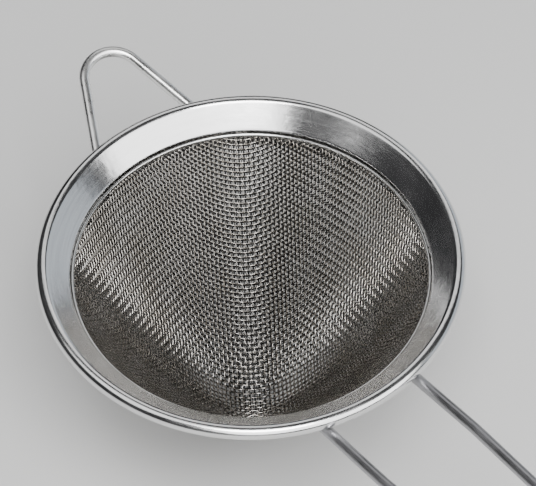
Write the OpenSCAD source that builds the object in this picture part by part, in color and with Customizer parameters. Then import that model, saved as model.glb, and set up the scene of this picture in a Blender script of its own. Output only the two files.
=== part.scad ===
// Conical strainer with a double wire-cloth bowl, a rest hook and a twin-wire handle.
// Millimetres. The origin is the brim's centre, level with the underside of its rolled bead.
// +Z is up and out of the bowl, +X runs along the handle, and the rest hook is on -X.

/* [Brim] */
// Outside diameter of the brim, over its rolled bead
brim_d = 76; // [72:0.5:80]
// Diameter of the rolled bead
bead_d = 2.6; // [2.4:0.1:2.7]
// Thickness of the brim's sheet
sheet_t = 0.5; // [0.4:0.05:0.6]
// Angle at which the flange slopes down towards the bowl
flange_tilt = 42; // [40:0.5:44]
// Width of the flange, from where it runs onto the bead to its rounded nose
flange_w = 5.2; // [5.1:0.05:5.3]
// Height of the lower edge of the collar below the bead's underside
collar_drop = 6; // [5:0.25:8]
// Turn of the bead's curl from the flange over, outwards and under, in degrees
curl_turn = 280; // [250:5:290]

/* [Clamp ring] */
// Thickness of the clamp ring, across its rounded section
ring_t = 0.6; // [0.4:0.05:0.65]
// Height of the clamp ring
ring_h = 0.85; // [0.7:0.05:1]
// Depth of the ring's top below the bead's underside
ring_top = 1.75; // [1.7:0.05:2]

/* [Wire cloth] */
// Depth of the inner cloth's tip below the bead's underside
bowl_depth = 42; // [38:0.1:46]
// Slope of the cone that the bowl's side follows, as rise over run
bowl_slope = 1.647; // [1.4:0.01:1.8]
// Size of the rounding at the bowl's tip
tip_size = 13.5; // [10:0.5:16]
// Extra steepening of the bowl's side towards the brim, per millimetre of radius
side_flare = 0.0095; // [0.005:0.0005:0.012]
// Thickness of one layer of wire cloth
cloth_t = 0.58; // [0.4:0.02:0.58]
// Distance between the middles of the two layers
cloth_step = 0.6; // [0.6:0.02:0.7]

/* [Rest hook] */
// Diameter of the hook's and the handle's wire
wire_d = 2; // [1.6:0.1:2]
// Upward tilt of the hook
hook_tilt = 19; // [12:1:24]
// Distance between the hook's legs where they cross the bead
hook_spread = 21.9; // [19:0.1:24]
// Angle at which each leg of the hook closes in
hook_angle = 20; // [16:0.5:22]
// Reach of the hook's wire beyond the bead, along the tilt
hook_reach = 19.2; // [17:0.1:22]
// Turn of the hook about the brim, away from straight opposite the handle
hook_turn = -3.1; // [-5:0.1:5]

/* [Handle] */
// Upward tilt of the handle
handle_tilt = 14; // [10:1:20]
// Distance between the handle's legs at the brim
handle_spread = 18.8; // [17:0.1:20]
// Length of the parallel stretch of the legs beyond the bead
handle_straight = 17; // [8:1:30]
// Angle at which each leg closes in after that stretch
handle_angle = 2.4; // [1.5:0.1:2.6]
// Reach of the handle's wire beyond the bead, along the tilt
handle_reach = 132; // [110:1:140]

/* [Hidden] */
$fn = 96;
steel = [0.74, 0.74, 0.73];
cloth_steel = [0.58, 0.57, 0.55];

// brim: the flange meets the bead's curl on a tangent, so the sheet rolls over in one sweep
bead_r = bead_d / 2;
bead_c = [brim_d / 2 - bead_r, bead_r];
flange_dir = [cos(flange_tilt), sin(flange_tilt)];
flange_normal = [-flange_dir[1], flange_dir[0]];
nose_c = bead_c + flange_normal * (bead_r - sheet_t / 2)
    - flange_dir * (flange_w - sheet_t / 2);
round_steps = 12;
curl_steps = 36;
collar_in = nose_c[0] + 0.23;
collar_top = nose_c[1] + (collar_in + sheet_t / 2 - nose_c[0]) * tan(flange_tilt);

// clamp ring and the cloth's skirts, which are pinched between the ring and the collar
ring_in = nose_c[0] - sheet_t / 2 - 0.61;
ring_bottom = -ring_top - ring_h;
skirt_gap = 0.02;
skirt_t = (collar_in - ring_in - ring_t - 3 * skirt_gap) / 2;
skirt_top = -ring_top;
skirt_in = ring_in + ring_t + skirt_gap;
skirt_foot = ring_bottom - 0.1;

// wire cloth: the bowl's middle surface and its two offset faces
bowl_steps = 28;
bowl_edge = ring_in - 0.4;
function bowl_z(r) = bowl_slope * (sqrt(r * r + tip_size * tip_size) - tip_size)
    + side_flare * r * r / 2 - bowl_depth;
function bowl_tan(r) = bowl_slope * r / sqrt(r * r + tip_size * tip_size) + side_flare * r;
function bowl_face(r, out) = let (a = atan(bowl_tan(r)))
    [r + out * sin(a), bowl_z(r) - out * cos(a)];
function bowl_radius(i) = bowl_edge * i / bowl_steps;

// wires: all of them cross the bead's centre circle just under the bead
wire_x = bead_c[0] - 1.35;
wire_z = -wire_d / 2 - 0.2;
wire_tail = 2.3;
bend_lap = 0.25;
bend_extra = 0.04;

// Points of an arc, from one angle to another
function arc(c, r, from, to, steps) =
    [for (i = [0:steps]) let (a = from + (to - from) * i / steps) c + r * [cos(a), sin(a)]];

// Sloped flange, with a round nose at its inner edge and a bead curled at its outer edge
module flange() {
    lip = 90 + flange_tilt;
    rotate_extrude() polygon(concat(
        arc(nose_c, sheet_t / 2, lip, lip + 180, round_steps),
        arc(bead_c, bead_r - sheet_t, lip, lip - curl_turn, curl_steps),
        arc(bead_c, bead_r, lip - curl_turn, lip, curl_steps)));
}

// Upright wall under the flange, around the clamp ring and the cloth's skirts
module collar() {
    rotate_extrude() translate([collar_in, -collar_drop])
        square([sheet_t, collar_drop + collar_top]);
}

module brim() {
    color(steel) {
        flange();
        collar();
    }
}

// A hoop with rounded edges, just inside the collar
module clamp_ring() {
    half = ring_t / 2;
    color(steel) rotate_extrude() polygon(concat(
        arc([ring_in + half, -ring_top - half], half, 0, 180, round_steps),
        arc([ring_in + half, ring_bottom + half], half, 180, 360, round_steps)));
}

// One layer of cloth as a thin bowl with an upright skirt; middle is its distance
// outside the inner cloth's middle surface
module cloth(middle, skirt_r, foot) {
    inner = middle - cloth_t / 2;
    outer = middle + cloth_t / 2;
    color(cloth_steel) rotate_extrude() polygon(concat(
        [for (i = [0:bowl_steps]) bowl_face(bowl_radius(i), inner)],
        [[skirt_r, foot], [skirt_r, skirt_top],
            [skirt_r + skirt_t, skirt_top], [skirt_r + skirt_t, foot - skirt_t]],
        [for (i = [bowl_steps:-1:0]) bowl_face(bowl_radius(i), outer)]));
}

module inner_mesh() {
    cloth(0, skirt_in, skirt_foot);
}

module outer_mesh() {
    cloth(cloth_step, skirt_in + skirt_t + skirt_gap, skirt_foot - skirt_t - skirt_gap);
}

// A straight run of wire between two points of the plane
module run(from, to) {
    way = to - from;
    translate(from) rotate([0, 0, atan2(way[1], way[0])]) rotate([0, 90, 0])
        cylinder(d = wire_d, h = norm(way));
}

// A closed end: two legs that lean in by angle and meet in a round bend at reach.
// start and half give one leg's far end; the bend's radius follows from them. The bend is
// a hair thicker than the legs, which end inside it.
function bend_r(start, half, angle, reach) =
    (half + (start - reach) * tan(angle)) * cos(angle) / (1 - sin(angle));
module closed_end(start, half, angle, reach) {
    r = bend_r(start, half, angle, reach);
    tangent = [reach - r + r * sin(angle), r * cos(angle)];
    leg_end = tangent + bend_lap * [cos(angle), -sin(angle)];
    for (side = [1, -1])
        run([start, side * half], [leg_end[0], side * leg_end[1]]);
    translate([reach - r, 0]) rotate([0, 0, angle - 90])
        rotate_extrude(angle = 180 - 2 * angle) translate([r, 0])
            circle(d = wire_d + bend_extra);
}

// V-shaped wire that rests on the far side of a vessel
module rest_hook() {
    half = hook_spread / 2 + wire_tail * tan(hook_angle);
    color(steel) rotate([0, 0, hook_turn]) mirror([1, 0, 0])
        translate([wire_x, 0, wire_z]) rotate([0, -hook_tilt, 0])
            closed_end(-wire_tail, half, hook_angle, hook_reach);
}

// Twin-wire handle, bent from one length of wire, with a loop to hang it by
module handle() {
    half = handle_spread / 2;
    color(steel) translate([wire_x, 0, wire_z]) rotate([0, -handle_tilt, 0]) {
        for (side = [1, -1]) {
            run([-wire_tail, side * half], [handle_straight, side * half]);
            translate([handle_straight, side * half, 0])
                rotate([0, 0, -side * handle_angle / 2]) rotate([0, 90, 0])
                    cylinder(d = wire_d + bend_extra, h = 2 * bend_lap, center = true);
        }
        closed_end(handle_straight, half, handle_angle, handle_reach);
    }
}

brim();
clamp_ring();
inner_mesh();
outer_mesh();
rest_hook();
handle();
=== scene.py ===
"""Looks of the double-mesh conical strainer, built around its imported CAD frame.

Lengths are metres in the frame's own axes: the origin is the brim's centre level with the
underside of its bead, +Z is up out of the bowl and +X runs along the handle.
"""

from math import cos, pi, radians, sin, tan

import bpy
import numpy as np
from mathutils import Matrix, Vector


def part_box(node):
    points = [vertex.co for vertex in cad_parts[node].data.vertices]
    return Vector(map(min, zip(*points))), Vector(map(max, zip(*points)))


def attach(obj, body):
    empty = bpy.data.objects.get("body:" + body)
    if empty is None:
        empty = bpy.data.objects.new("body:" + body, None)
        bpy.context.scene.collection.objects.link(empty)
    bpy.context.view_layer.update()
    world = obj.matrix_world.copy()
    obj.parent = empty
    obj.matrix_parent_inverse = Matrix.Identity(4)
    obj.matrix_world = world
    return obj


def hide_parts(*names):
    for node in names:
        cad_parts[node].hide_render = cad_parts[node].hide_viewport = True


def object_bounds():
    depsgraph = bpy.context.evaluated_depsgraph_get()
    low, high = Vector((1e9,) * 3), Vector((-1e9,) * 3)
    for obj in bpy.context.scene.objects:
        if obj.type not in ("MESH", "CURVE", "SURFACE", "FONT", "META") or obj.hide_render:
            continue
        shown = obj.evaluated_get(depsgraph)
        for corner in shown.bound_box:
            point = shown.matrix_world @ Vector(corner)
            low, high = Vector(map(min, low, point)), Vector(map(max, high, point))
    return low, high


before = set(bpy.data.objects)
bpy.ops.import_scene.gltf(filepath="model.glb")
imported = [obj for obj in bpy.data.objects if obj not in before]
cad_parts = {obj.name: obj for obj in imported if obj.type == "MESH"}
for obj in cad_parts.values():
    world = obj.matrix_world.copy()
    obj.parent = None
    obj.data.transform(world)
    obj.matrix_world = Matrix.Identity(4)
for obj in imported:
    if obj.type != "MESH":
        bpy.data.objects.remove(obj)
cad_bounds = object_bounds()
MM = 0.001

# ---- Sizes taken from the frame ---------------------------------------------------------

brim_low, brim_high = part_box("brim")
ring_low, ring_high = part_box("clamp_ring")
cloth_low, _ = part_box("inner_mesh")

BRIM_R = brim_high.x                       # outside of the bead
BEAD_R = brim_high.z / 2                   # radius of the bead's own section
BEAD_C = (BRIM_R - BEAD_R, BEAD_R)         # (radius, height) of the bead's centre circle
COLLAR_FOOT = brim_low.z
RING_OUT = ring_high.x
RING_TOP, RING_FOOT = ring_high.z, ring_low.z

# ---- Sizes of the design ----------------------------------------------------------------

SHEET = 0.5 * MM                           # brim's sheet
FLANGE_TILT = radians(42)
FLANGE_W = 5.2 * MM                        # from the bead's curl to the flange's nose
CURL_TURN = radians(280)                   # from the flange over, outwards and under
COLLAR_OFFSET = 0.23 * MM                  # from the nose's centre out to the collar
FOOT_ROUND = 0.12 * MM                     # rounding of the collar's lower edge
FLANGE_BEND = 0.22 * MM                    # bevel where the collar runs into the flange
RING_T = 0.6 * MM
LATHE_STEPS = 384

CLOTH_T = 0.58 * MM                        # one layer of cloth in the frame
CLOTH_STEP = 0.6 * MM                      # middle of one layer to middle of the other
CONE_SLOPE, TIP_SIZE, FLARE = 1.647, 13.5 * MM, 9.5
PITCH = 0.90 * MM                          # mesh count 28 to the inch
CLOTH_WIRES = (0.23 * MM, 0.37 * MM)       # wire of the inner and the outer layer
CLOTH_WIRE_SIDES = 6
CLOTH_TURN = radians(58.6)
CLOTH_TUCK = 0.35 * MM                     # how far the wires run into the clamp ring
NET_COUNT = 100                            # most pitches from the tip to the cloth's edge
FEWEST_CROSSINGS = 4                       # shorter bits of wire at the edge are left out
TIP_Z = cloth_low.z + CLOTH_T / 2

WIRE_R = 1.0 * MM
WIRE_SIDES, WIRE_STEP = 32, 1.5 * MM
WIRE_END = 0.35                            # rounding of the wires' ends, in wire radii
WIRE_START = (BEAD_C[0] - 1.35 * MM, -1.2 * MM)    # where all wires cross under the bead
WIRE_TAIL = 2.3 * MM                       # from there to the wires' inner ends
HOOK_TILT, HOOK_ANGLE, HOOK_SPREAD = radians(19), radians(20), 21.9 * MM
HOOK_REACH, HOOK_TURN = 19.2 * MM, radians(-3.1)
HANDLE_TILT, HANDLE_ANGLE, HANDLE_SPREAD = radians(14), radians(2.4), 18.8 * MM
HANDLE_STRAIGHT, HANDLE_REACH = 17 * MM, 132 * MM
WELD_SIZE = np.array([0.60, 0.80, 0.42]) * MM      # half sizes of a weld bead
WELD_INSET, WELD_DEPTH = 0.35 * MM, 0.12 * MM

FLOOR_SIZE, FLOOR_GAP = 4.0, 0.2 * MM

# The photograph's own axes: X to the right, Y away from the camera
VIEW_TURN = radians(55.7)


def in_frame(x, y, z):
    """A point or direction given in the camera's axes, turned into the frame's."""
    return Matrix.Rotation(VIEW_TURN, 3, "Z") @ Vector((x, y, z))


# ---- Mesh building ----------------------------------------------------------------------

def add_piece(name, verts, faces, slot, stands_for=()):
    """A mesh piece that rides on the one body of the frame."""
    mesh = bpy.data.meshes.new(name)
    mesh.from_pydata(verts, [], faces)
    mesh.validate()
    mesh.polygons.foreach_set("use_smooth", [True] * len(mesh.polygons))
    piece = bpy.data.objects.new(name, mesh)
    bpy.context.scene.collection.objects.link(piece)
    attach(piece, "root")
    for node in stands_for:
        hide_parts(node)
    return piece


def arc(centre, radius, start, end, steps):
    """Points of an arc in the (radius, height) plane, angles counted from outwards, up."""
    return [(centre[0] + radius * cos(start + (end - start) * i / steps),
             centre[1] + radius * sin(start + (end - start) * i / steps))
            for i in range(steps + 1)]


def straight(a, b, steps):
    """Points of a straight stretch, its ends left out."""
    return [(a[0] + (b[0] - a[0]) * i / steps, a[1] + (b[1] - a[1]) * i / steps)
            for i in range(1, steps)]


def lathe(section, segments):
    """Vertices and faces of a closed section turned round the Z axis."""
    ring = np.array(section)
    count = len(ring)
    turn = 2 * pi * np.arange(segments) / segments
    xs = ring[:, 0][None, :] * np.cos(turn)[:, None]
    ys = ring[:, 0][None, :] * np.sin(turn)[:, None]
    zs = np.broadcast_to(ring[:, 1], (segments, count))
    verts = np.stack([xs, ys, zs], -1).reshape(-1, 3)
    a = np.arange(segments)[:, None] * count + np.arange(count)[None, :]
    b = np.roll(a, -1, 0)
    faces = np.stack([a, b, np.roll(b, -1, 1), np.roll(a, -1, 1)], -1).reshape(-1, 4)
    return verts.tolist(), faces.tolist()


def tubes(paths, normals, radius, sides):
    """Vertices and faces of round tubes along several paths, with closed ends."""
    turn = 2 * pi * np.arange(sides) / sides
    verts, faces, base = [], [], 0
    for path, normal in zip(paths, normals):
        way = np.gradient(path, axis=0)
        way /= np.linalg.norm(way, axis=1)[:, None]
        up = normal - (normal * way).sum(1)[:, None] * way
        up /= np.linalg.norm(up, axis=1)[:, None]
        side = np.cross(way, up)
        size = np.broadcast_to(radius, len(path))[:, None, None]
        round_way = (np.cos(turn)[None, :, None] * up[:, None, :]
                     + np.sin(turn)[None, :, None] * side[:, None, :])
        ring = path[:, None, :] + size * round_way
        verts.append(ring.reshape(-1, 3))
        rows = len(path)
        a = base + np.arange(rows - 1)[:, None] * sides + np.arange(sides)[None, :]
        b = a + sides
        quads = np.stack([a, np.roll(a, -1, 1), np.roll(b, -1, 1), b], -1).reshape(-1, 4)
        faces += quads.tolist()
        faces.append(list(range(base + sides - 1, base - 1, -1)))
        faces.append(list(range(base + (rows - 1) * sides, base + rows * sides)))
        base += rows * sides
    return np.concatenate(verts).tolist(), faces


# ---- Brim and clamp ring ----------------------------------------------------------------

def brim_section():
    """Outline of the brim's sheet: collar, flange with its nose, and the curled bead."""
    run, rise = cos(FLANGE_TILT), sin(FLANGE_TILT)
    half = SHEET / 2
    nose = (BEAD_C[0] - (BEAD_R - half) * rise - (FLANGE_W - half) * run,
            BEAD_C[1] + (BEAD_R - half) * run - (FLANGE_W - half) * rise)
    collar_in = nose[0] + COLLAR_OFFSET
    collar_out = collar_in + SHEET

    def underside(r):
        return (r, nose[1] + (r - nose[0]) * rise / run - half / run)

    edge, join = FOOT_ROUND, FLANGE_BEND
    lip = pi / 2 + FLANGE_TILT
    end = lip - CURL_TURN
    outer_stop, inner_stop = end + 0.15, end + 0.25    # room for the curl's rounded edge
    curl_end = (BEAD_C[0] + (BEAD_R - half) * cos(end),
                BEAD_C[1] + (BEAD_R - half) * sin(end))
    section = [(collar_in, COLLAR_FOOT + edge)]
    section += straight(section[-1], underside(collar_in), 6) + [underside(collar_in)]
    section += arc(nose, half, lip + pi, lip, 10)
    over = arc(BEAD_C, BEAD_R, lip, outer_stop, 56)
    section += straight(section[-1], over[0], 16) + over
    section += arc(curl_end, half, end, end - pi, 6)[1:-1]
    section += arc(BEAD_C, BEAD_R - SHEET, inner_stop, lip, 36)
    section += straight(section[-1], underside(collar_out + join), 8)
    section += [underside(collar_out + join)]
    bend = (collar_out, underside(collar_out)[1] - join)
    section += straight(section[-1], bend, 3) + [bend]
    section += straight(bend, (collar_out, COLLAR_FOOT + edge), 6)
    section += arc((collar_out - edge, COLLAR_FOOT + edge), edge, 0, -pi / 2, 4)
    section += arc((collar_in + edge, COLLAR_FOOT + edge), edge, -pi / 2, -pi, 4)[:-1]
    return section


def ring_section():
    """Outline of the clamp ring: a flat hoop with rounded edges."""
    half = RING_T / 2
    middle = RING_OUT - half
    top, foot = (middle, RING_TOP - half), (middle, RING_FOOT + half)
    rise = arc(top, half, 0, pi, 14)
    fall = arc(foot, half, pi, 2 * pi, 14)
    return (rise + straight(rise[-1], fall[0], 3)
            + fall + straight(fall[-1], rise[0], 3))


# ---- Woven wire cloth -------------------------------------------------------------------

def bowl_height(r):
    return CONE_SLOPE * (np.sqrt(r * r + TIP_SIZE ** 2) - TIP_SIZE) + FLARE * r * r / 2


def bowl_rise(r):
    return CONE_SLOPE * r / np.sqrt(r * r + TIP_SIZE ** 2) + FLARE * r


def bowl_normal(points):
    """Unit normals of the bowl, out of it and down."""
    r = np.maximum(np.hypot(points[..., 0], points[..., 1]), 1e-9)
    rise = bowl_rise(r)
    n = np.stack([rise * points[..., 0] / r, rise * points[..., 1] / r, -np.ones_like(r)], -1)
    return n / np.linalg.norm(n, axis=-1)[..., None]


def draped_net(count, edge_r):
    """Crossings of one quadrant of square cloth draped over the bowl.

    Cloth shears but its wires don't stretch, so each crossing lies on the bowl at one
    pitch from two earlier crossings. Heights count from the bowl's tip."""
    samples, beyond, rounds, closeness = 1500, 1.2, 8, 1e-9
    r = np.linspace(0, beyond * edge_r, samples)
    step = np.sqrt(1 + bowl_rise(r) ** 2)
    length = np.concatenate([[0], np.cumsum((step[1:] + step[:-1]) / 2 * np.diff(r))])
    spine = np.interp(np.arange(count + 1) * PITCH, length, r)
    net = np.full((count + 1, count + 1, 3), np.nan)
    net[:, 0] = np.stack([spine, 0 * spine, bowl_height(spine)], 1)
    net[0, :] = np.stack([0 * spine, spine, bowl_height(spine)], 1)
    for diagonal in range(2, 2 * count + 1):
        i = np.arange(max(1, diagonal - count), min(count, diagonal - 1) + 1)
        j = diagonal - i
        near_a, near_b, corner = net[i - 1, j], net[i, j - 1], net[i - 1, j - 1]
        live = (~np.isnan(near_a[:, 0])) & (~np.isnan(near_b[:, 0]))
        live &= np.hypot(corner[:, 0], corner[:, 1]) < edge_r
        if not live.any():
            continue
        i, j = i[live], j[live]
        near_a, near_b, corner = near_a[live], near_b[live], corner[live]
        guess = near_a + near_b - corner
        for _ in range(rounds):
            radius = np.hypot(guess[:, 0], guess[:, 1])
            rise = bowl_rise(radius) / radius
            miss = np.stack([guess[:, 2] - bowl_height(radius),
                             ((guess - near_a) ** 2).sum(1) - PITCH ** 2,
                             ((guess - near_b) ** 2).sum(1) - PITCH ** 2], 1)
            slope = np.stack([np.stack([-rise * guess[:, 0], -rise * guess[:, 1],
                                        np.ones(len(guess))], 1),
                              2 * (guess - near_a), 2 * (guess - near_b)], 1)
            guess = guess - np.linalg.solve(slope, miss[..., None])[..., 0]
        good = np.abs(miss).max(1) < closeness
        net[i[good], j[good]] = guess[good]
    return net


def whole_net(net):
    """All four quadrants of a draped net, from one of them."""
    count = len(net) - 1
    index = np.arange(-count, count + 1)
    full = net[np.abs(index)][:, np.abs(index)].copy()
    full[:, :, 0] *= np.sign(index)[:, None]
    full[:, :, 1] *= np.sign(index)[None, :]
    return full


def between(full):
    """The cloth that lies half a pitch off in both directions, so it covers the holes."""
    middle = (full[1:, 1:] + full[:-1, 1:] + full[1:, :-1] + full[:-1, :-1]) / 4
    middle[:, :, 2] = bowl_height(np.hypot(middle[:, :, 0], middle[:, :, 1]))
    return middle


def cloth_wires(full, along, edge_r, layer, turn):
    """Paths and normals of the wires that run along one direction of a layer."""
    grid = full if along == 0 else full.transpose(1, 0, 2)
    crimp = CLOTH_WIRES[layer] / 2 * (1 if along == 0 else -1)
    spin = np.array(Matrix.Rotation(turn, 3, "Z"))
    shift = np.array([0, 0, TIP_Z])
    paths, normals = [], []
    for row in range(grid.shape[1]):
        line = grid[:, row]
        index = np.flatnonzero(np.hypot(line[:, 0], line[:, 1]) < edge_r)
        if len(index) < FEWEST_CROSSINGS:
            continue
        points = line[index]
        normal = bowl_normal(points)
        lift = layer * CLOTH_STEP + crimp * np.where((index + row) % 2, 1, -1)
        crossing = points + lift[:, None] * normal
        flat = points + layer * CLOTH_STEP * normal
        path = np.empty((2 * len(index) - 1, 3))
        path[0::2], path[1::2] = crossing, (flat[1:] + flat[:-1]) / 2
        facing = np.empty_like(path)
        facing[0::2], facing[1::2] = normal, (normal[1:] + normal[:-1]) / 2
        paths.append(path @ spin.T + shift)
        normals.append(facing @ spin.T)
    return paths, normals


# ---- Bent wires -------------------------------------------------------------------------

def bend_radius(start, half, angle, reach):
    return (half + (start - reach) * tan(angle)) * cos(angle) / (1 - sin(angle))


def bent_wire(corners, half_end, angle, reach):
    """Middle line, in its own plane, of a wire with two mirrored legs and a round end.

    corners are one leg's points from its end to the last straight stretch's start."""
    start, half = corners[-1]
    radius = bend_radius(start, half, angle, reach)
    leg = []
    for (x0, y0), (x1, y1) in zip(corners, corners[1:]):
        steps = max(2, int((x1 - x0) / WIRE_STEP))
        leg += [(x0 + (x1 - x0) * k / steps, y0 + (y1 - y0) * k / steps)
                for k in range(steps)]
    tangent = (reach - radius + radius * sin(angle), radius * cos(angle))
    steps = max(3, int((tangent[0] - start) / WIRE_STEP))
    leg += [(start + (tangent[0] - start) * k / steps, half + (tangent[1] - half) * k / steps)
            for k in range(steps)]
    sweep = pi / 2 - angle
    bend = [(reach - radius + radius * cos(a), radius * sin(a))
            for a in np.linspace(sweep, -sweep, 41)]
    return leg + bend + [(x, -y) for x, y in reversed(leg)]


def weld_spots(half, direction, turn):
    """Small flat weld beads between the bead's underside and the two legs."""
    rows, sides = 10, 20
    spin = np.array(Matrix.Rotation(turn, 3, "Z"))
    a = np.pi * np.arange(1, rows)[:, None] / rows
    b = 2 * np.pi * np.arange(sides)[None, :] / sides
    ball = np.stack([np.sin(a) * np.cos(b), np.sin(a) * np.sin(b),
                     np.cos(a) + 0 * b], -1).reshape(-1, 3)
    ball = np.concatenate([ball, [[0, 0, 1], [0, 0, -1]]]) * WELD_SIZE
    verts, faces = [], []
    for side in (1, -1):
        base = len(verts)
        spot = np.array([direction * (WIRE_START[0] - WELD_INSET), side * half, -WELD_DEPTH])
        verts += ((ball + spot) @ spin.T).tolist()
        for i in range(rows - 2):
            for j in range(sides):
                k, n = base + i * sides, (j + 1) % sides
                faces.append((k + j, k + sides + j, k + sides + n, k + n))
        top, foot = base + len(ball) - 2, base + len(ball) - 1
        last = base + (rows - 2) * sides
        for j in range(sides):
            n = (j + 1) % sides
            faces.append((top, base + j, base + n))
            faces.append((foot, last + n, last + j))
    return verts, faces


def wire_piece(name, plane_points, tilt, direction, turn, node):
    """A round wire in a plane that rises by tilt along +X (direction 1) or -X (-1)."""
    flat = np.array(plane_points)
    path = np.stack([direction * (WIRE_START[0] + flat[:, 0] * cos(tilt)),
                     flat[:, 1],
                     WIRE_START[1] + flat[:, 0] * sin(tilt)], 1)
    spin = np.array(Matrix.Rotation(turn, 3, "Z"))
    ends = 4
    size = np.full(len(path), WIRE_R)
    tips = []
    for first, second in ((path[0], path[1]), (path[-1], path[-2])):
        way = (first - second) / np.linalg.norm(first - second)
        tips.append([first - way * WIRE_R * WIRE_END * (1 - sin(pi / 2 * k / ends))
                     for k in range(ends + 1)])
    round_off = [WIRE_R * (1 - WIRE_END * (1 - cos(pi / 2 * k / ends)))
                 for k in range(ends + 1)]
    path = np.concatenate([np.array(tips[0])[::-1], path[1:-1], np.array(tips[1])])
    size = np.concatenate([round_off[::-1], size[1:-1], round_off])
    normal = np.tile([-direction * sin(tilt), 0, cos(tilt)], (len(path), 1))
    shape = tubes([path @ spin.T], [normal @ spin.T], size, WIRE_SIDES)
    return add_piece(name, *shape, "wire_steel", [node])


# ---- Materials --------------------------------------------------------------------------

class Nodes:
    """A small helper that adds and links shader nodes of one material."""

    def __init__(self, name):
        self.material = bpy.data.materials.new(name)
        self.material.use_nodes = True
        self.tree = self.material.node_tree
        self.shader = self.tree.nodes["Principled BSDF"]

    def add(self, kind, inputs=None, **settings):
        node = self.tree.nodes.new(kind)
        for key, value in settings.items():
            setattr(node, key, value)
        for key, value in (inputs or {}).items():
            if isinstance(value, bpy.types.NodeSocket):
                self.tree.links.new(value, node.inputs[key])
            else:
                node.inputs[key].default_value = value
        return node

    def math(self, operation, a, b=0.0):
        return self.add("ShaderNodeMath", {0: a, 1: b}, operation=operation).outputs[0]

    def spread(self, value, low, high, to_low, to_high):
        """A value mapped from one range onto another."""
        keys = ("Value", "From Min", "From Max", "To Min", "To Max")
        return self.add("ShaderNodeMapRange",
                        dict(zip(keys, (value, low, high, to_low, to_high)))).outputs[0]

    def noise(self, vector, scale, detail=3.0, roughness=0.55):
        return self.add("ShaderNodeTexNoise", {"Vector": vector, "Scale": scale,
                        "Detail": detail, "Roughness": roughness}).outputs["Fac"]

    def mix(self, factor, a, b):
        node = self.add("ShaderNodeMix", data_type="RGBA")
        for socket, value in ((node.inputs[0], factor), (node.inputs[6], a),
                              (node.inputs[7], b)):
            if isinstance(value, bpy.types.NodeSocket):
                self.tree.links.new(value, socket)
            else:
                socket.default_value = value
        return node.outputs[2]

    def put(self, socket, value):
        if isinstance(value, bpy.types.NodeSocket):
            self.tree.links.new(value, self.shader.inputs[socket])
        else:
            self.shader.inputs[socket].default_value = value


def turned_space(n, around, across):
    """Coordinates that run around and across a turned surface, for circular brushing."""
    place = n.add("ShaderNodeTexCoord").outputs["Object"]
    parts = n.add("ShaderNodeSeparateXYZ", {0: place})
    x, y, z = parts.outputs
    radius = n.math("SQRT", n.math("ADD", n.math("MULTIPLY", x, x), n.math("MULTIPLY", y, y)))
    turn = n.math("ARCTAN2", y, x)
    fine = n.add("ShaderNodeCombineXYZ", {
        0: n.math("MULTIPLY", n.math("COSINE", turn), around),
        1: n.math("MULTIPLY", n.math("SINE", turn), around),
        2: n.math("MULTIPLY", n.math("ADD", radius, z), across)})
    return place, fine.outputs[0]


def brushed_steel(name, color, rough, streaks, smudge):
    """Satin steel with circular brushing, smudges and faint waves in the sheet."""
    n = Nodes(name)
    place, fine = turned_space(n, 2.2, 9000.0)
    brushing = n.noise(fine, 1.0, 4.0, 0.7)
    coarse = n.noise(turned_space(n, 3.0, 1800.0)[1], 1.0, 2.0, 0.5)
    smudges = n.noise(place, 90.0, 3.0, 0.6)
    waves = n.noise(place, 45.0, 1.0, 0.4)
    ripples = n.noise(turned_space(n, 14.0, 260.0)[1], 1.0, 2.0, 0.5)
    roughness = n.math("ADD", n.spread(brushing, 0.3, 0.7, rough - streaks, rough + streaks),
                       n.spread(smudges, 0.35, 0.7, -smudge / 2, smudge))
    dark = [c * 0.9 for c in color] + [1]
    tone = n.mix(n.spread(coarse, 0.3, 0.7, 0, 1), dark, list(color) + [1])
    height = n.math("ADD", n.math("MULTIPLY", brushing, 0.0000016),
                    n.math("ADD", n.math("MULTIPLY", waves, 0.00022),
                           n.math("MULTIPLY", ripples, 0.00003)))
    bump = n.add("ShaderNodeBump", {"Height": height, "Strength": 1.0, "Distance": 1.0})
    n.put("Base Color", tone)
    n.put("Metallic", 1.0)
    n.put("Roughness", roughness)
    n.put("Normal", bump.outputs[0])
    return n.material


def drawn_wire(name, color, rough):
    """Polished drawn wire: fine lengthwise die lines, dull patches and small nicks."""
    n = Nodes(name)
    place = n.add("ShaderNodeTexCoord").outputs["Object"]
    long_way = n.add("ShaderNodeMapping", {"Vector": place, "Scale": (60.0, 2600.0, 2600.0)})
    lines = n.noise(long_way.outputs[0], 1.0, 3.0, 0.6)
    patches = n.noise(place, 160.0, 3.0, 0.6)
    nicks = n.noise(place, 900.0, 2.0, 0.5)
    roughness = n.math("ADD", n.spread(patches, 0.3, 0.7, rough - 0.05, rough + 0.08),
                       n.spread(lines, 0.3, 0.7, -0.03, 0.03))
    dark = [c * 0.82 for c in color] + [1]
    tone = n.mix(n.spread(patches, 0.3, 0.7, 0, 1), dark, list(color) + [1])
    height = n.math("ADD", n.math("MULTIPLY", lines, 0.000004),
                    n.math("MULTIPLY", nicks, 0.000005))
    bump = n.add("ShaderNodeBump", {"Height": height, "Strength": 1.0, "Distance": 1.0})
    n.put("Base Color", tone)
    n.put("Metallic", 1.0)
    n.put("Roughness", roughness)
    n.put("Normal", bump.outputs[0])
    return n.material


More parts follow.
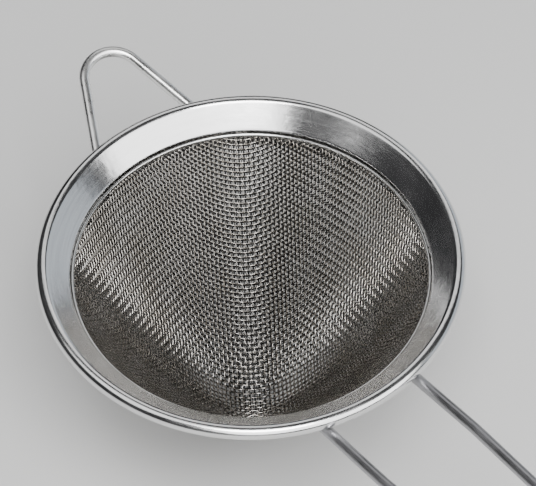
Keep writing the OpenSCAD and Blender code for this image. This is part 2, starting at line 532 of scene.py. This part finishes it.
def cloth_steel(name, color, rough, painted_gap_shade=None):
    """Fine woven wire: warm steel that varies from wire to wire.

    painted_gap_shade, if given, is a painted shade: a darker colour given to the side of each
    wire that faces the other cloth. It keeps the gap between the cloths dark over a pale floor;
    real wire is one colour."""
    n = Nodes(name)
    place = n.add("ShaderNodeTexCoord").outputs["Object"]
    patches = n.noise(place, 140.0, 2.0, 0.5)
    grain = n.noise(place, 2600.0, 2.0, 0.5)
    mixed = n.math("ADD", n.math("MULTIPLY", patches, 0.5), n.math("MULTIPLY", grain, 0.5))
    dark = [c * f for c, f in zip(color, (0.72, 0.69, 0.64))] + [1]
    tone = n.mix(n.spread(mixed, 0.38, 0.62, 0, 1), dark, list(color) + [1])
    if painted_gap_shade:
        level = n.add("ShaderNodeVectorMath", {0: place, 1: (1.0, 1.0, 0.0)},
                      operation="MULTIPLY").outputs[0]
        around = n.add("ShaderNodeVectorMath", {0: level}, operation="NORMALIZE").outputs[0]
        lean = n.add("ShaderNodeVectorMath", {0: around, 1: (0.0, 0.0, -0.6)},
                     operation="ADD").outputs[0]
        facing = n.add("ShaderNodeNewGeometry").outputs["Normal"]
        outward = n.add("ShaderNodeVectorMath", {0: facing, 1: lean},
                        operation="DOT_PRODUCT").outputs["Value"]
        # painted shade: the side of each wire that faces the other cloth is darkened to the
        # painted gap shade colour
        tone = n.mix(n.spread(outward, 0.1, 0.6, 0, 1), list(painted_gap_shade) + [1], tone)
    bump = n.add("ShaderNodeBump", {"Height": n.math("MULTIPLY", grain, 0.000012),
                                    "Strength": 1.0, "Distance": 1.0})
    n.put("Base Color", tone)
    n.put("Metallic", 1.0)
    n.put("Roughness", n.spread(grain, 0.3, 0.7, rough - 0.06, rough + 0.08))
    n.put("Normal", bump.outputs[0])
    return n.material


def floor_paint():
    """Plain pale floor with a trace of unevenness."""
    n = Nodes("floor")
    place = n.add("ShaderNodeTexCoord").outputs["Object"]
    tone = n.mix(n.noise(place, 3.0, 2.0), (0.56, 0.56, 0.555, 1), (0.60, 0.60, 0.595, 1))
    n.put("Base Color", tone)
    n.put("Roughness", 0.85)
    return n.material


# ---- The object -------------------------------------------------------------------------

# Hook and handle are one kind of wire; their colours differ as the light on them does in
# the photograph
brim_steel = brushed_steel("brim_steel", (0.78, 0.78, 0.78), 0.18, 0.05, 0.06)
ring_steel = brushed_steel("ring_steel", (0.70, 0.70, 0.69), 0.2, 0.04, 0.03)
hook_steel = drawn_wire("hook_steel", (0.90, 0.90, 0.89), 0.27)
handle_steel = drawn_wire("handle_steel", (0.40, 0.40, 0.415), 0.36)
weld_steel = drawn_wire("weld_steel", (0.38, 0.37, 0.36), 0.42)
# The outer cloth carries painted shade on its inward side, so the gap between the cloths reads
# dark
mesh_steel = (cloth_steel("inner_cloth_steel", (0.43, 0.417, 0.40), 0.11),
              cloth_steel("outer_cloth_steel", (0.50, 0.485, 0.465), 0.25,
                          painted_gap_shade=(0.035, 0.034, 0.033)))


def build_brim():
    brim = add_piece("brim_sheet", *lathe(brim_section(), LATHE_STEPS),
                     "brim_steel", ["brim"])
    brim.data.materials.append(brim_steel)
    ring = add_piece("clamp_hoop", *lathe(ring_section(), LATHE_STEPS),
                     "ring_steel", ["clamp_ring"])
    ring.data.materials.append(ring_steel)


def build_cloth():
    edge_r = RING_OUT - RING_T + CLOTH_TUCK
    net = whole_net(draped_net(NET_COUNT, edge_r))
    layers = (("inner_mesh", net), ("outer_mesh", between(net)))
    for layer, (node, crossings) in enumerate(layers):
        for along, kind in enumerate(("warp", "weft")):
            paths, normals = cloth_wires(crossings, along, edge_r, layer, CLOTH_TURN)
            shape = tubes(paths, normals, CLOTH_WIRES[layer] / 2, CLOTH_WIRE_SIDES)
            piece = add_piece(f"{node}_{kind}", *shape, "cloth_steel", [node])
            piece.data.materials.append(mesh_steel[layer])


def build_wires():
    half = HOOK_SPREAD / 2 + WIRE_TAIL * tan(HOOK_ANGLE)
    line = bent_wire([(-WIRE_TAIL, half)], half, HOOK_ANGLE, HOOK_REACH)
    hook = wire_piece("hook_wire", line, HOOK_TILT, -1, HOOK_TURN, "rest_hook")
    hook_welds = add_piece("hook_welds", *weld_spots(HOOK_SPREAD / 2, -1, HOOK_TURN),
                           "wire_steel")
    half = HANDLE_SPREAD / 2
    line = bent_wire([(-WIRE_TAIL, half), (HANDLE_STRAIGHT, half)], half,
                     HANDLE_ANGLE, HANDLE_REACH)
    handle = wire_piece("handle_wire", line, HANDLE_TILT, 1, 0.0, "handle")
    handle_welds = add_piece("handle_welds", *weld_spots(half, 1, 0.0), "wire_steel")
    for piece, steel in ((hook, hook_steel), (handle, handle_steel),
                         (hook_welds, weld_steel), (handle_welds, weld_steel)):
        piece.data.materials.append(steel)


# ---- Floor, lights and camera -----------------------------------------------------------

def build_floor():
    size = FLOOR_SIZE
    mesh = bpy.data.meshes.new("floor")
    z = cad_bounds[0][2] - FLOOR_GAP
    mesh.from_pydata([(-size, -size, z), (size, -size, z), (size, size, z), (-size, size, z)],
                     [], [(0, 1, 2, 3)])
    floor = bpy.data.objects.new("floor", mesh)
    bpy.context.scene.collection.objects.link(floor)
    floor.data.materials.append(floor_paint())


def soft_light(name, direction, distance, width, height, power, color=(1, 1, 1)):
    """A softbox in the camera's axes that faces the bowl."""
    light = bpy.data.lights.new(name, "AREA")
    light.shape, light.size, light.size_y = "RECTANGLE", width, height
    light.energy, light.color = power, color
    lamp = bpy.data.objects.new(name, light)
    bpy.context.scene.collection.objects.link(lamp)
    lamp.location = in_frame(*direction).normalized() * distance
    lamp.rotation_euler = lamp.location.to_track_quat("Z", "Y").to_euler()
    lamp.visible_camera = False


def build_lights():
    soft_light("key", (0.42, -0.65, 0.61), 0.75, 1.22, 0.62, 9.5)
    soft_light("top", (0.05, -0.40, 0.91), 0.80, 0.36, 0.30, 7.0)
    soft_light("fill_left", (-0.46, -0.06, 0.88), 0.75, 0.50, 0.50, 1.2)
    soft_light("fill_back_right", (0.84, 0.48, 0.24), 0.8, 1.2, 0.46, 1.3, (0.85, 0.92, 1))
    soft_light("rim_light", (0.05, 0.74, 0.67), 0.7, 0.50, 0.34, 0.7)
    world = bpy.data.worlds.new("studio")
    world.use_nodes = True
    world.node_tree.nodes["Background"].inputs["Color"].default_value = (0.036, 0.036, 0.038, 1)
    bpy.context.scene.world = world


def build_camera():
    """Camera at the photograph's angle; the bead's centre sits left of and below centre."""
    image_w, focal_px = 536, 2517
    elevation, distance = radians(52.3), 0.4446
    across_px, down_px, roll = 17.3, 15.7, radians(-0.2)
    centre = Vector((0, 0, BEAD_R))
    outward = in_frame(0, -cos(elevation), sin(elevation))
    right = in_frame(1, 0, 0)
    up = outward.cross(right)
    place = centre + outward * distance
    target = centre + (right * across_px + up * down_px) * distance / focal_px
    data = bpy.data.cameras.new("camera")
    data.sensor_width, data.lens = 36, focal_px * 36 / image_w
    data.clip_start, data.clip_end = 0.01, 20
    camera = bpy.data.objects.new("camera", data)
    bpy.context.scene.collection.objects.link(camera)
    look = (place - target).to_track_quat("Z", "Y").to_matrix()
    turned = (look @ Matrix.Rotation(roll, 3, "Z")).to_4x4()
    camera.matrix_world = Matrix.Translation(place) @ turned
    bpy.context.scene.camera = camera


build_brim()
build_cloth()
build_wires()
build_floor()
build_lights()
build_camera()
